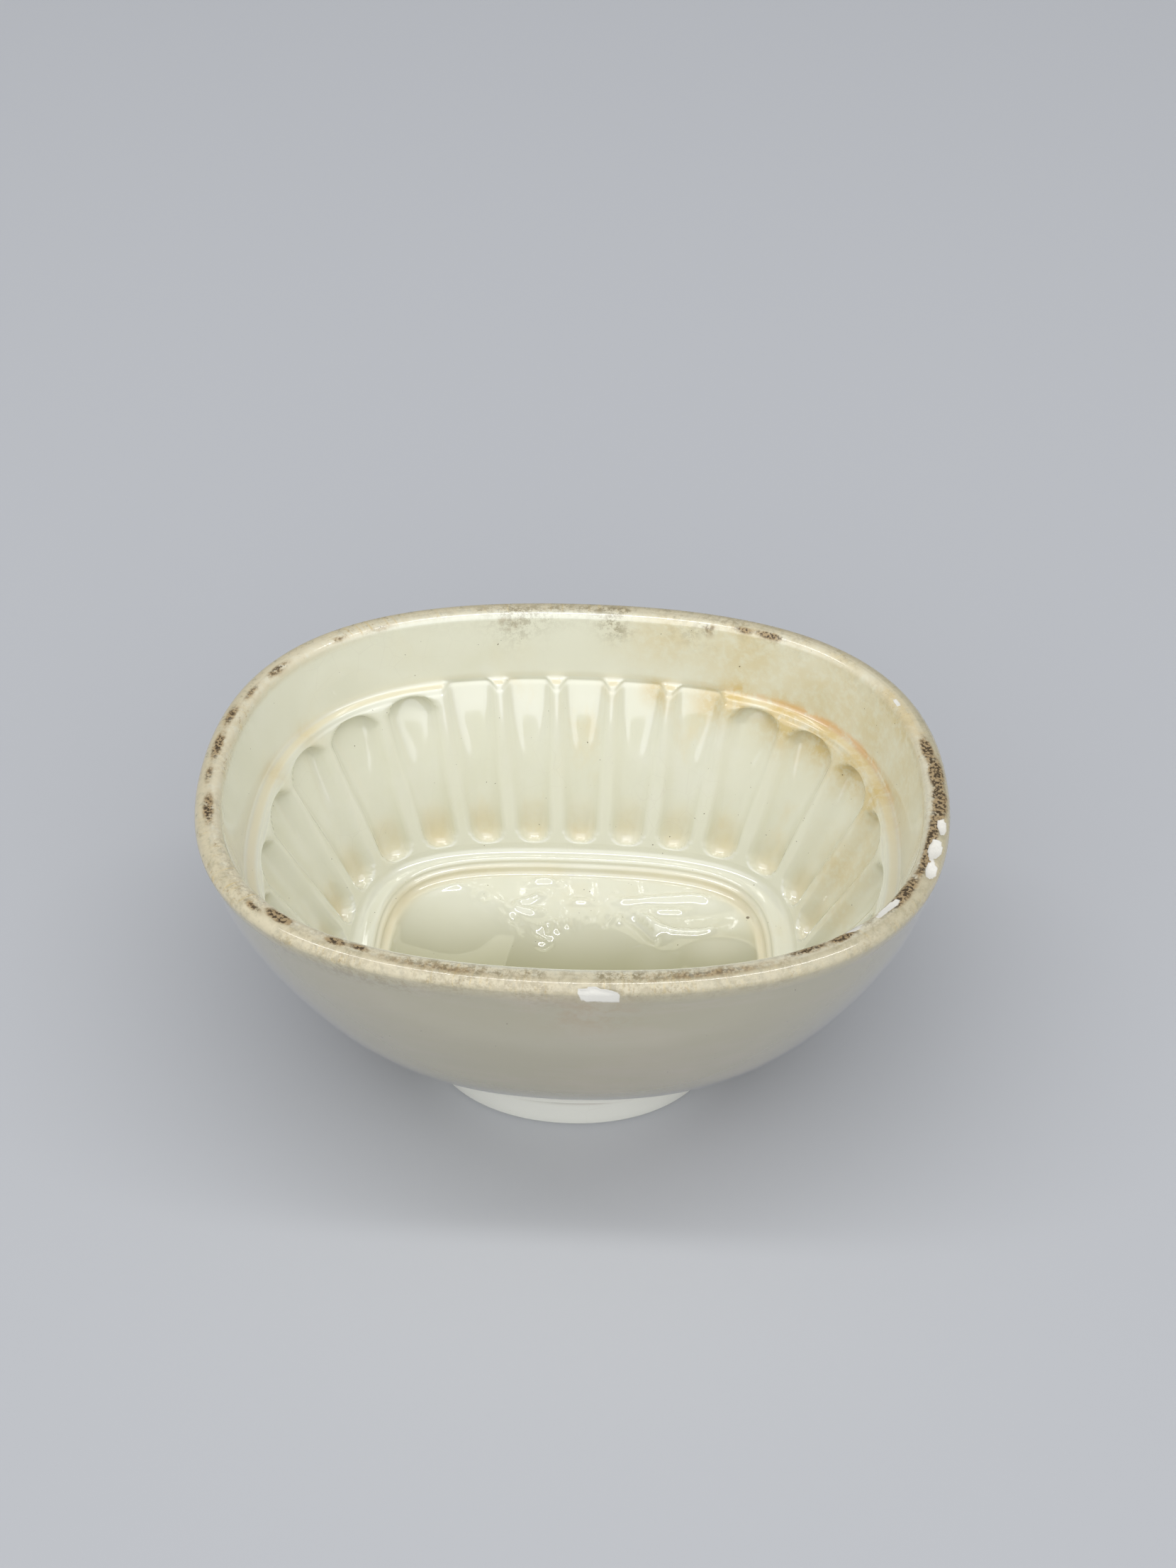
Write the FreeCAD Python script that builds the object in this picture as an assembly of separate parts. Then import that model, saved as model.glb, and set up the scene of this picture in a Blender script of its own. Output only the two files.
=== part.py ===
import FreeCAD, Part
import math
import os

# Jelly mould of glazed earthenware, pressed in one piece: an oval bowl on a small oval foot.
# Inside it are a plain band under the rim, a ledge, round-ended flutes down the wall,
# and a flat base with a sunk figure. Millimetres, +Z up.
# The origin is under the middle of the foot, on the table.
# An oval's fullness is the share of the way that the handles of each quarter reach towards
# the corner of the box round the oval: 0.552 draws an ellipse, and more a squarer oval.

# Overall sizes
rim_length = 180.0
rim_width = 138.0
height = 93.0
rim_fullness_share = 0.682
rim_outer_rounding = 2.6
rim_inner_rounding = 2.0

# Mouth, and the band inside it down to the ledge
mouth_length = 167.4
mouth_width = 124.8
mouth_fullness_share = 0.699
band_height = 19.5
band_foot_length = 160.4
band_foot_width = 120.6
band_foot_fullness_share = 0.709
band_foot_rounding = 0.8

# Foot, and the recess under it
foot_length = 77.5
foot_width = 63.0
foot_height = 9.0
foot_fullness_share = 0.584
foot_ring_thickness = 6.0
foot_recess_depth = 5.0
foot_edge_rounding = 1.0
foot_recess_rounding = 1.5

# Bowl outside, between the foot and the rim: half length, half width, height above the table
bowl_swell = [
    (50.0, 34.6, 12.5),
    (58.6, 40.4, 20.0),
    (69.6, 49.4, 33.0),
    (79.4, 56.8, 50.0),
    (86.6, 63.8, 70.0),
]
fullness_gather = 2.2

# Fluted wall inside: the oval at the top of the ribs and the oval at the flutes' lower ends
rib_top_length = 152.8
rib_top_width = 113.4
rib_top_fullness_share = 0.73
flute_end_length = 115.4
flute_end_width = 74.4
flute_end_fullness_share = 0.783
flute_end_height = 35.0

# Flutes: channels left by one round gouge, pressed in deeper at the top than at the bottom
flute_count = 26
flute_gouge_radius = 5.8
flute_width_at_top = 10.8
flute_width_at_bottom = 9.2
flute_fanning_share = 0.13

# Base inside: shelf below the flutes, its lip, and the well down to the flat floor
shelf_height = 32.3
shelf_cove = 1.4
lip_length = 102.8
lip_width = 66.4
lip_fullness_share = 0.814
lip_rounding = 0.6
well_depth = 5.0
well_draft = 1.6
well_cove = 2.0

# Figure sunk in the floor, a recumbent hare with its head to the right:
# place along and across, half length, half width, turn in degrees, depth
figure_lobes = [
    ("haunch", -30.0, 4.0, 18.5, 20.0, 0.0, 4.2),
    ("flank", -1.0, -5.0, 22.0, 17.0, 6.0, 3.8),
    ("shoulder", 20.0, -3.0, 12.0, 14.5, 0.0, 3.2),
    ("head", 33.0, 11.0, 12.0, 8.5, 8.0, 3.6),
    ("near_ear", 22.0, 20.4, 10.5, 2.6, 4.0, 1.6),
    ("foreleg", 38.0, -9.5, 9.0, 4.0, -12.0, 2.4),
    ("hind_foot", -16.0, -21.0, 17.0, 4.4, 2.0, 2.4),
]
lobe_fullness_share = 0.552
lobe_bottom_share = 0.75

ledge_height = height - band_height
floor_height = shelf_height - well_depth

# How far a cut runs past the face it opens
overlap = 1.0

# How curves are stepped: bands up the bowl, millimetres of radius for each step of a rounding,
# steps in a flute's round end, and steps along an oval where the flutes are spaced
bowl_bands = 14
rounding_step = 1.1
end_steps = 3
measuring_steps = 1000


def vector(x, y, z):
    return FreeCAD.Vector(x, y, z)


def between(low, high, part):
    return low + (high - low) * part


def size(length, width, fullness):
    return length / 2, width / 2, fullness


def inset(oval_size, distance):
    half_length, half_width, fullness = oval_size
    return half_length - distance, half_width - distance, fullness


def oval(oval_size, z):
    # A closed oval of four curved quarters
    half_length, half_width, fullness = oval_size
    corners = [(0, half_width), (half_length, 0), (0, -half_width), (-half_length, 0)]
    quarters = []
    for (x0, y0), (x1, y1) in zip(corners, corners[1:] + corners[:1]):
        quarter = Part.BezierCurve()
        quarter.setPoles([vector(x0, y0, z),
                          vector(x0 + x1 * fullness, y0 + y1 * fullness, z),
                          vector(x1 + x0 * fullness, y1 + y0 * fullness, z),
                          vector(x1, y1, z)])
        quarters.append(quarter.toShape())
    return Part.Wire(quarters)


def quarter_turns(radius):
    steps = max(1, round(radius / rounding_step))
    return [math.pi / 2 * step / steps for step in range(steps + 1)]


def lower_corner(oval_size, z, radius):
    # Ovals that round the corner at the bottom of a solid or a hollow
    return [oval(inset(oval_size, radius * (1 - math.sin(turn))), z + radius * (1 - math.cos(turn)))
            for turn in quarter_turns(radius)]


def upper_corner(oval_size, z, radius):
    # Ovals that round the corner at the top
    return [oval(inset(oval_size, radius * (1 - math.cos(turn))), z - radius * (1 - math.sin(turn)))
            for turn in quarter_turns(radius)]


def flared_edge(oval_size, z, radius):
    # Ovals that open a hollow outwards, so that the edge round its mouth is rounded
    return [oval(inset(oval_size, -radius * (1 - math.cos(turn))), z - radius * (1 - math.sin(turn)))
            for turn in quarter_turns(radius)]


def loft(sections):
    return Part.makeLoft(sections, True, True)


def bowl():
    # The outside in one run: foot, swelling wall and rounded rim, all solid inside
    foot = size(foot_length, foot_width, foot_fullness_share)
    rim = size(rim_length, rim_width, rim_fullness_share)
    rim_foot = height - rim_outer_rounding
    knots = [vector(foot[0], foot[1], foot_height)]
    knots += [vector(*knot) for knot in bowl_swell]
    knots += [vector(rim[0], rim[1], rim_foot)]
    swell = Part.BSplineCurve()
    swell.interpolate(knots)
    sections = lower_corner(foot, 0, foot_edge_rounding)
    for point in swell.discretize(Number=bowl_bands + 1)[:-1]:
        gather = (point.z / rim_foot) ** fullness_gather
        fullness = between(foot_fullness_share, rim_fullness_share, gather)
        sections.append(oval((point.x, point.y, fullness), point.z))
    return loft(sections + upper_corner(rim, height, rim_outer_rounding))


def foot_recess():
    ring = inset(size(foot_length, foot_width, foot_fullness_share), foot_ring_thickness)
    sections = [oval(ring, -overlap), oval(ring, 0)]
    return loft(sections + upper_corner(ring, foot_recess_depth, foot_recess_rounding))


def band():
    # The plain space inside the rim, down to the ledge
    band_foot = size(band_foot_length, band_foot_width, band_foot_fullness_share)
    mouth = size(mouth_length, mouth_width, mouth_fullness_share)
    sections = lower_corner(band_foot, ledge_height, band_foot_rounding)
    sections += flared_edge(mouth, height, rim_inner_rounding)
    return loft(sections + [oval(inset(mouth, -rim_inner_rounding), height + overlap)])


def rib_size(z):
    # The size of the ribs' oval at any height
    part = (z - flute_end_height) / (ledge_height - flute_end_height)
    return (between(flute_end_length, rib_top_length, part) / 2,
            between(flute_end_width, rib_top_width, part) / 2,
            between(flute_end_fullness_share, rib_top_fullness_share, part))


def core():
    # The space inside the ribs, from the shelf up through the ledge
    top = ledge_height + band_foot_rounding
    sections = lower_corner(rib_size(shelf_height + shelf_cove), shelf_height, shelf_cove)
    return loft(sections + [oval(rib_size(top), top)])


def stations(z, fractions):
    # Points on the ribs' oval at fractions of its length, from the middle of the far side
    points = oval(rib_size(z), z).discretize(Number=measuring_steps + 1)
    found = []
    for fraction in fractions:
        place = fraction * measuring_steps
        step = int(place)
        found.append(points[step].add(points[step + 1].sub(points[step]) * (place - step)))
    return found


def gouge_lift(width):
    # How far the gouge's axis stands off the wall where its channel has this width
    return math.sqrt(flute_gouge_radius ** 2 - width * width / 4)


def flute(start, end):
    # One gouge with a rounded end, laid in the wall from the flute's lower end up past the ledge
    run = end.sub(start).normalize()
    inward = vector(-start.x, -start.y, 0)
    inward = inward.sub(run * inward.dot(run)).normalize()
    tip = start.add(run * (flute_width_at_bottom / 2)).add(inward * gouge_lift(flute_width_at_bottom))
    far = end.add(inward * gouge_lift(flute_width_at_top))
    axis = far.sub(tip).normalize()
    far = far.add(axis * flute_gouge_radius)
    sections = []
    for step in range(1, end_steps + 1):
        turn = math.pi / 2 * step / end_steps
        place = tip.sub(axis * (flute_gouge_radius * math.cos(turn)))
        sections.append(Part.Wire([Part.makeCircle(flute_gouge_radius * math.sin(turn), place, axis)]))
    sections.append(Part.Wire([Part.makeCircle(flute_gouge_radius, far, axis)]))
    return loft(sections)


def flutes():
    # Even steps at the flutes' lower ends, fanned out towards the mould's ends at the ledge
    low_fractions = []
    high_fractions = []
    for index in range(flute_count):
        fraction = index / flute_count
        fanning = flute_fanning_share * math.sin(4 * math.pi * fraction) / (4 * math.pi)
        low_fractions.append(fraction)
        high_fractions.append(fraction - fanning)
    starts = stations(flute_end_height, low_fractions)
    ends = stations(ledge_height, high_fractions)
    lid = Part.makeBox(rib_top_length * 2, rib_top_length * 2, height,
                       vector(-rib_top_length, -rib_top_length, ledge_height + band_foot_rounding))
    return [flute(start, end).cut(lid) for start, end in zip(starts, ends)]


def well():
    # The sunk floor inside the lip
    lip = size(lip_length, lip_width, lip_fullness_share)
    sections = lower_corner(inset(lip, well_draft), floor_height, well_cove)
    sections += flared_edge(lip, shelf_height, lip_rounding)
    return loft(sections + [oval(inset(lip, -lip_rounding), shelf_height + overlap)])


def lobe(x, y, half_length, half_width, turn, depth):
    # A dished hollow in the floor: sloping sides round a level bottom
    mouth = (half_length, half_width, lobe_fullness_share)
    bottom = (half_length * lobe_bottom_share, half_width * lobe_bottom_share, lobe_fullness_share)
    dish = loft([oval(mouth, floor_height + overlap),
                 oval(mouth, floor_height),
                 oval(bottom, floor_height - depth)])
    dish.rotate(vector(0, 0, 0), vector(0, 0, 1), turn)
    dish.translate(vector(x, y, 0))
    return dish


def mould_body():
    body = bowl().cut(foot_recess())
    body = body.cut(band())
    body = body.cut(core())
    body = body.cut(flutes())
    body = body.cut(well())
    for name, *place in figure_lobes:
        body = body.cut(lobe(*place))
    return body


os.makedirs("parts", exist_ok=True)
mould_body().exportStep("parts/mould_body.step")
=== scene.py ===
import math
import bmesh
import bpy
import numpy as np
from mathutils import Matrix, Vector


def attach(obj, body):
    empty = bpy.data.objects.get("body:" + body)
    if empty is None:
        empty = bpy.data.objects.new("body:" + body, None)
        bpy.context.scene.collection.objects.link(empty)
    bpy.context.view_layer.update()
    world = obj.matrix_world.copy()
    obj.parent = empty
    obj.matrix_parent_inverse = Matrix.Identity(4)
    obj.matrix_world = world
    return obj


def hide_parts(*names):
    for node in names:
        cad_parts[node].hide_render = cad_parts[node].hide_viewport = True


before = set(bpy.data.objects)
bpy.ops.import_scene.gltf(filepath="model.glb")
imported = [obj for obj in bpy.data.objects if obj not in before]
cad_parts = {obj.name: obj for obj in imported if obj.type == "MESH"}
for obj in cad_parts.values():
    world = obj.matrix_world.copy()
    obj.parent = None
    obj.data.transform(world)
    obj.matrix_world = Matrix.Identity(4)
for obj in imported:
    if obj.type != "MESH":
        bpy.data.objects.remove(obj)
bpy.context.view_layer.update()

mm = 0.001


class Wire:
    # A socket that can be added, multiplied and so on, each step a Math node

    def __init__(self, tree, socket):
        self.tree = tree
        self.socket = socket

    def step(self, operation, *others, clamp=False):
        node = self.tree.nodes.new("ShaderNodeMath")
        node.operation = operation
        node.use_clamp = clamp
        for slot, value in enumerate((self,) + others):
            plug(self.tree, value, node.inputs[slot])
        return Wire(self.tree, node.outputs[0])

    def __add__(self, other):
        return self.step("ADD", other)

    def __sub__(self, other):
        return self.step("SUBTRACT", other)

    def __mul__(self, other):
        return self.step("MULTIPLY", other)

    def __truediv__(self, other):
        return self.step("DIVIDE", other)

    def flipped(self):
        return self.step("MULTIPLY_ADD", -1.0, 1.0)

    def limited(self):
        return self.step("ADD", 0.0, clamp=True)

    def above(self, floor):
        return self.step("MAXIMUM", floor)

    def root(self):
        return self.above(0.0).step("SQRT")

    def ramp(self, low, high, fromValue=0.0, toValue=1.0):
        node = self.tree.nodes.new("ShaderNodeMapRange")
        node.interpolation_type = "SMOOTHSTEP"
        for name, value in (("Value", self), ("From Min", low), ("From Max", high),
                            ("To Min", fromValue), ("To Max", toValue)):
            plug(self.tree, value, node.inputs[name])
        return Wire(self.tree, node.outputs[0])


def plug(tree, value, socket):
    if isinstance(value, Wire):
        tree.links.new(value.socket, socket)
    else:
        socket.default_value = value


ellipse = 0.552   # an oval's fullness where it is an ellipse, and more for a squarer one
offWall = -0.05   # written as a point's reach up the flutes where it isn't on the fluted wall

# The mould's sizes in millimetres. An oval is half length, half width and fullness
mouldSizes = {
    "rim": (90.0, 69.0, 0.682),
    "mouth": (83.7, 62.4, 0.699),
    "bandFoot": (80.2, 60.3, 0.709),
    "ribTop": (76.4, 56.7, 0.730),
    "fluteEnd": (57.7, 37.2, 0.783),
    "lip": (51.4, 33.2, 0.814),
    "foot": (38.75, 31.5, 0.584),
    "height": 93.0,
    "ledgeHeight": 73.5,
    "fluteEndHeight": 35.0,
    "shelfHeight": 32.3,
    "floorHeight": 28.6,
    "outerRounding": 2.6,
    "innerRounding": 2.0,
    "shelfSweep": (2.3, 2.4),
    "lipRounding": 1.3,
    "wellDraft": 1.2,
    "wellCove": 1.8,
    "footHeight": 9.0,
    "footRing": 6.0,
    "footRounding": 1.0,
    "recessDepth": 5.0,
    "recessRounding": 1.5,
    "fullnessGather": 2.2,    # how late the outside turns from the foot's oval to the rim's
    "fanHeight": 60.0,        # from here up the outside's columns follow the flutes' fan fully
    "wallSlant": 1.11,        # length up the fluted wall for each millimetre of height
    "closedFrom": 2.2,        # flutes from a long side's middle to where their tops begin to close
    "columnsPerFlute": 16,
    "swellRings": 30,
    "bandRings": 13,
    "ledgeRings": 17,
    "floorRings": 60,
}

# Outside of the bowl between foot and rim: half length, half width, height
bowlSwell = [
    (50.0, 34.6, 12.5),
    (58.6, 40.4, 20.0),
    (69.6, 49.4, 33.0),
    (79.4, 56.8, 50.0),
    (86.6, 63.8, 70.0),
]

fluteSizes = {
    "Flute Count": 26,
    "Fanning": 0.13,
    "Depth At Top": 6.6,       # as the round gouge would cut, before its flat bottom
    "Depth At Bottom": 3.5,
    "Flat Bottom": 3.7,        # the deepest that a channel goes, level with the band's wall
    "Share At Top": 0.86,      # channel width over the flutes' spacing
    "Share At Bottom": 0.68,
    "Rib Rounding": 2.0,
    "Pocket Rounding": 0.6,
    "Pocket Scoop": 1.1,       # how far a pocket dips, over how far it goes in
    "Ledge Cove": 1.1,
    "Ledge Rounding": 0.9,
    "Closed Top": 6.0,         # the rounded top of the flutes at the mould's two ends
    "Closed Gap": 1.6,         # and how far below the ledge it stays
    "Hand Wobble": 0.2,
}

# Where one form passes into the next, in metres, mostly up the wall from the flutes' lower ends
fluteBlends = {
    "deepening": (0.026, 0.002),   # the channels deepen from this far below the ledge to above it
    "pocketEnd": (0.003, 0.014),   # a pocket's round bottom passes into the channel's softer one
    "ribSoftening": (0.003, 0.02),
    "scoopEnd": 0.0095,
    "flatCorner": 0.0014,
    "leastLedge": 0.0003,
    "ledgeRise": 0.002,
    "waveScale": 38.0,
    "waveDetail": 1.5,
}


def mix(low, high, part):
    return tuple(a + (b - a) * part for a, b in zip(low, high))


def inset(oval, distance):
    return (oval[0] - distance, oval[1] - distance, oval[2])


def turns(steps, first=False):
    # Angles of a quarter turn, for a rounded corner
    return [math.pi / 2 * k / steps for k in range(0 if first else 1, steps + 1)]


def ovalLine(oval, samples=512):
    # Four curved quarters, clockwise from the middle of the far side
    a, b, fullness = oval
    corners = [(0, b), (a, 0), (0, -b), (-a, 0), (0, b)]
    t = (np.arange(samples) / samples)[:, None]
    line = []
    for start, end in zip(corners, corners[1:]):
        p, q = np.array(start), np.array(end)
        line.append((1 - t) ** 3 * p + 3 * t * (1 - t) ** 2 * (p + q * fullness)
                    + 3 * t ** 2 * (1 - t) * (q + p * fullness) + t ** 3 * q)
    line.append(np.array([[0, b]]))
    return np.concatenate(line)


def ovalPoints(oval, fractions):
    # Points at fractions of an oval's length, and that length
    line = ovalLine(oval)
    length = np.r_[0, np.cumsum(np.hypot(*np.diff(line, axis=0).T))]
    wanted = (fractions % 1.0) * length[-1]
    return np.interp(wanted, length, line[:, 0]), np.interp(wanted, length, line[:, 1]), length[-1]


def outFrom(oval, x, y):
    # How far out a point is: 1 on the oval, less inside it
    line = ovalLine(oval)
    turn = np.arctan2(line[:, 1], line[:, 0])
    order = np.argsort(turn)
    edge = np.interp(np.arctan2(y, x), turn[order], np.hypot(*line.T)[order], period=2 * math.pi)
    return np.hypot(x, y) / edge


def outsideSections(s, count):
    # A smooth curve through the bowl's swell, from the foot's top to the rim's rounding
    top = s["height"] - s["outerRounding"]
    points = np.array([(*s["foot"][:2], s["footHeight"])] + bowlSwell + [(*s["rim"][:2], top)])
    chord = np.r_[0, np.cumsum(np.linalg.norm(np.diff(points, axis=0), axis=1))]
    slopes = np.gradient(points, chord, axis=0)
    found = []
    for place in np.linspace(0, chord[-1], count):
        i = min(int(np.searchsorted(chord, place, side="right")) - 1, len(chord) - 2)
        span = chord[i + 1] - chord[i]
        t = (place - chord[i]) / span
        a, b, z = ((2 * t ** 3 - 3 * t ** 2 + 1) * points[i]
                   + (3 * t ** 2 - 2 * t ** 3) * points[i + 1]
                   + (t ** 3 - 2 * t ** 2 + t) * span * slopes[i]
                   + (t ** 3 - t ** 2) * span * slopes[i + 1])
        fullness = s["foot"][2] + (s["rim"][2] - s["foot"][2]) * (z / top) ** s["fullnessGather"]
        found.append(((a, b, fullness), z))
    return found


def mouldRings(s):
    # Every ring of the mould's skin, from under the foot over the rim to the floor inside:
    # oval, height, how far it follows the flutes' fan, share of the ledge crossed, and 1 if inside
    rings = []

    def ring(oval, z, fan=0.0, share=-1.0, inside=0.0):
        rings.append((oval, z, fan, share, inside))

    foot, height = s["foot"], s["height"]
    recess = inset(foot, s["footRing"])
    for scale in (0.3, 0.6, 0.85):
        ring((recess[0] * scale, recess[1] * scale, recess[2]), s["recessDepth"])
    r = s["recessRounding"]
    for turn in turns(4, True):
        ring(inset(recess, r - r * math.sin(turn)), s["recessDepth"] - r + r * math.cos(turn))
    ring(recess, 2.2)
    r = s["footRounding"]
    for turn in turns(3, True):
        ring(inset(recess, r * (math.cos(turn) - 1.0)), r * (1.0 - math.sin(turn)))
    ring(inset(foot, s["footRing"] / 2), 0.0)
    for turn in turns(3, True):
        ring(inset(foot, r * (1.0 - math.sin(turn))), r * (1.0 - math.cos(turn)))
    for z in (3.0, 5.5, 7.8):
        ring(foot, z)
    for oval, z in outsideSections(s, s["swellRings"]):
        ring(oval, z, min(1.0, z / s["fanHeight"]))
    r = s["outerRounding"]
    for turn in turns(8):
        ring(inset(s["rim"], r - r * math.cos(turn)), height - r + r * math.sin(turn), 1.0)
    crest, innerCrest = inset(s["rim"], r), inset(s["mouth"], -s["innerRounding"])
    for part in (0.33, 0.67):
        ring(mix(crest, innerCrest, part), height, 1.0, inside=0.5)
    r = s["innerRounding"]
    for turn in turns(6, True):
        z = height - r + r * math.cos(turn)
        ring(inset(s["mouth"], r * (math.sin(turn) - 1.0)), z, 1.0, inside=1.0)
    bandTop = height - r
    bandEnd = s["ledgeHeight"] + fluteSizes["Ledge Cove"]
    for step in range(1, s["bandRings"]):
        part = step / s["bandRings"]
        z = bandTop + (bandEnd - bandTop) * part
        ring(mix(s["mouth"], s["bandFoot"], part), z, 1.0, inside=1.0)
    for share in np.linspace(0, 1, s["ledgeRings"]):
        ring(mix(s["bandFoot"], s["ribTop"], float(share)), s["ledgeHeight"], 1.0, float(share), 1.0)
    rise = s["ledgeHeight"] - s["fluteEndHeight"]
    # Rings lie closer at the flutes' tops and pockets
    heights = np.r_[np.linspace(1, 0.86, 13)[1:],
                    np.linspace(0.86, 0.24, 29)[1:],
                    np.linspace(0.24, 0, 21)[1:]]
    for part in heights:
        ring(mix(s["fluteEnd"], s["ribTop"], part), s["fluteEndHeight"] + rise * part, part, 1.0, 1.0)
    sweep, drop = s["shelfSweep"]
    below = (s["shelfHeight"] + drop - s["fluteEndHeight"]) / rise
    wallFoot = mix(s["fluteEnd"], s["ribTop"], below)
    for turn in turns(4, True):
        z = s["shelfHeight"] + drop * (1 - math.sin(turn))
        ring(inset(wallFoot, sweep * (1 - math.cos(turn))), z, 0.0, 1.0, 1.0)
    lip, r = s["lip"], s["lipRounding"]
    for part in (0.35, 0.7):
        ring(mix(inset(wallFoot, sweep), inset(lip, -r), part), s["shelfHeight"], inside=1.0)
    for turn in turns(5, True):
        ring(inset(lip, r * (math.sin(turn) - 1.0)), s["shelfHeight"] - r + r * math.cos(turn), inside=1.0)
    wellFoot, cove = inset(lip, s["wellDraft"]), s["wellCove"]
    ring(mix(lip, wellFoot, 0.5), s["shelfHeight"] - 1.6, inside=1.0)
    for turn in turns(6, True):
        z = s["floorHeight"] + cove - cove * math.sin(turn)
        ring(inset(wellFoot, cove - cove * math.cos(turn)), z, inside=1.0)
    floor = inset(wellFoot, cove)
    for step in range(1, s["floorRings"]):
        scale = 1 - step / s["floorRings"]
        fullness = ellipse + (floor[2] - ellipse) * scale
        ring((floor[0] * scale, floor[1] * scale, fullness), s["floorHeight"], inside=1.0)
    return rings


def skinFaces(rows, count):
    # Four-sided faces from ring to ring, and a fan of three-sided ones round each pole
    faces = []
    for i in range(rows - 1):
        for j in range(count):
            k = (j + 1) % count
            faces.append((i * count + j, i * count + k, (i + 1) * count + k, (i + 1) * count + j))
    floorPole = rows * count
    footPole = floorPole + 1
    last = (rows - 1) * count
    for j in range(count):
        k = (j + 1) % count
        faces.append((last + j, last + k, floorPole))
        faces.append((j, footPole, k))
    return faces


def pressMould(s):
    # The plain pressed skin, before its flutes: rings of columns that follow the flutes' fan
    rings = mouldRings(s)
    flutes = fluteSizes["Flute Count"]
    count = flutes * s["columnsPerFlute"]
    column = np.arange(count) / count
    nearest = np.round(column * flutes)
    swing, spread = [fluteSizes["Fanning"] * wave(4 * math.pi * column) for wave in (np.sin, np.cos)]
    centreSwing = fluteSizes["Fanning"] * np.sin(4 * math.pi * nearest / flutes)
    # Counted from a long side's middle, the flutes at the mould's ends have closed tops
    fromMiddle = np.abs((nearest + flutes / 4) % (flutes / 2) - flutes / 4)
    closing = np.clip(fromMiddle - s["closedFrom"], 0, 1)
    bandX, bandY, _ = ovalPoints(s["bandFoot"], column)
    ribX, ribY, _ = ovalPoints(s["ribTop"], column)
    ledge = np.hypot(bandX - ribX, bandY - ribY)
    names = ("across", "pitch", "reach", "share", "ledgeWidth", "closing", "around", "inside")
    facts = {name: [] for name in names}
    points, outward = [], []
    for oval, z, fan, share, inside in rings:
        place = column - swing * fan / (4 * math.pi)
        x, y, length = ovalPoints(oval, place)
        centre = nearest / flutes - centreSwing * fan / (4 * math.pi)
        tangent = np.c_[np.roll(x, -1) - np.roll(x, 1), np.roll(y, -1) - np.roll(y, 1)]
        tangent /= np.linalg.norm(tangent, axis=1)[:, None]
        points.append(np.c_[x, y, np.full(count, z)])
        outward.append(np.c_[-tangent[:, 1], tangent[:, 0], np.zeros(count)])
        facts["across"].append((place - centre) * length * mm)
        facts["pitch"].append(length / flutes * (1 - spread * fan) * mm)
        reach = (z - s["fluteEndHeight"]) * s["wallSlant"] * mm if share >= 0 else offWall
        facts["reach"].append(np.full(count, reach))
        facts["share"].append(np.full(count, share))
        facts["ledgeWidth"].append(ledge * mm)
        facts["closing"].append(closing)
        facts["around"].append(column * 0.5)   # about the metres round the rim
        facts["inside"].append(np.full(count, inside))
    rows = len(rings)
    points = np.r_[np.concatenate(points), [[0, 0, s["floorHeight"]], [0, 0, s["recessDepth"]]]]
    mesh = bpy.data.meshes.new("mould")
    mesh.from_pydata((points * mm).tolist(), [], skinFaces(rows, count))
    poles = {"reach": (offWall, offWall), "share": (-1, -1), "inside": (1, 0)}
    for name in names:
        keepFact(mesh, name, np.r_[np.concatenate(facts[name]), poles.get(name, (0, 0))])
    sideways = np.r_[np.concatenate(outward), np.zeros((2, 3))].astype(np.float32)
    mesh.attributes.new("outward", "FLOAT_VECTOR", "POINT").data.foreach_set("vector", sideways.ravel())
    shaped = bmesh.new()
    shaped.from_mesh(mesh)
    bmesh.ops.recalc_face_normals(shaped, faces=shaped.faces)
    shaped.to_mesh(mesh)
    shaped.free()
    print("rings", rows, "triangles", (rows - 1) * count * 2 + 2 * count)
    return mesh


def keepFact(mesh, name, values):
    mesh.attributes.new(name, "FLOAT", "POINT").data.foreach_set("value", values.astype(np.float32))


def places(mesh):
    # The mesh's points in millimetres
    place = np.empty(len(mesh.vertices) * 3)
    mesh.vertices.foreach_get("co", place)
    return place.reshape(-1, 3) / mm


def readFact(mesh, name):
    values = np.empty(len(mesh.vertices), dtype=np.float32)
    mesh.attributes[name].data.foreach_get("value", values)
    return values


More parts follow.
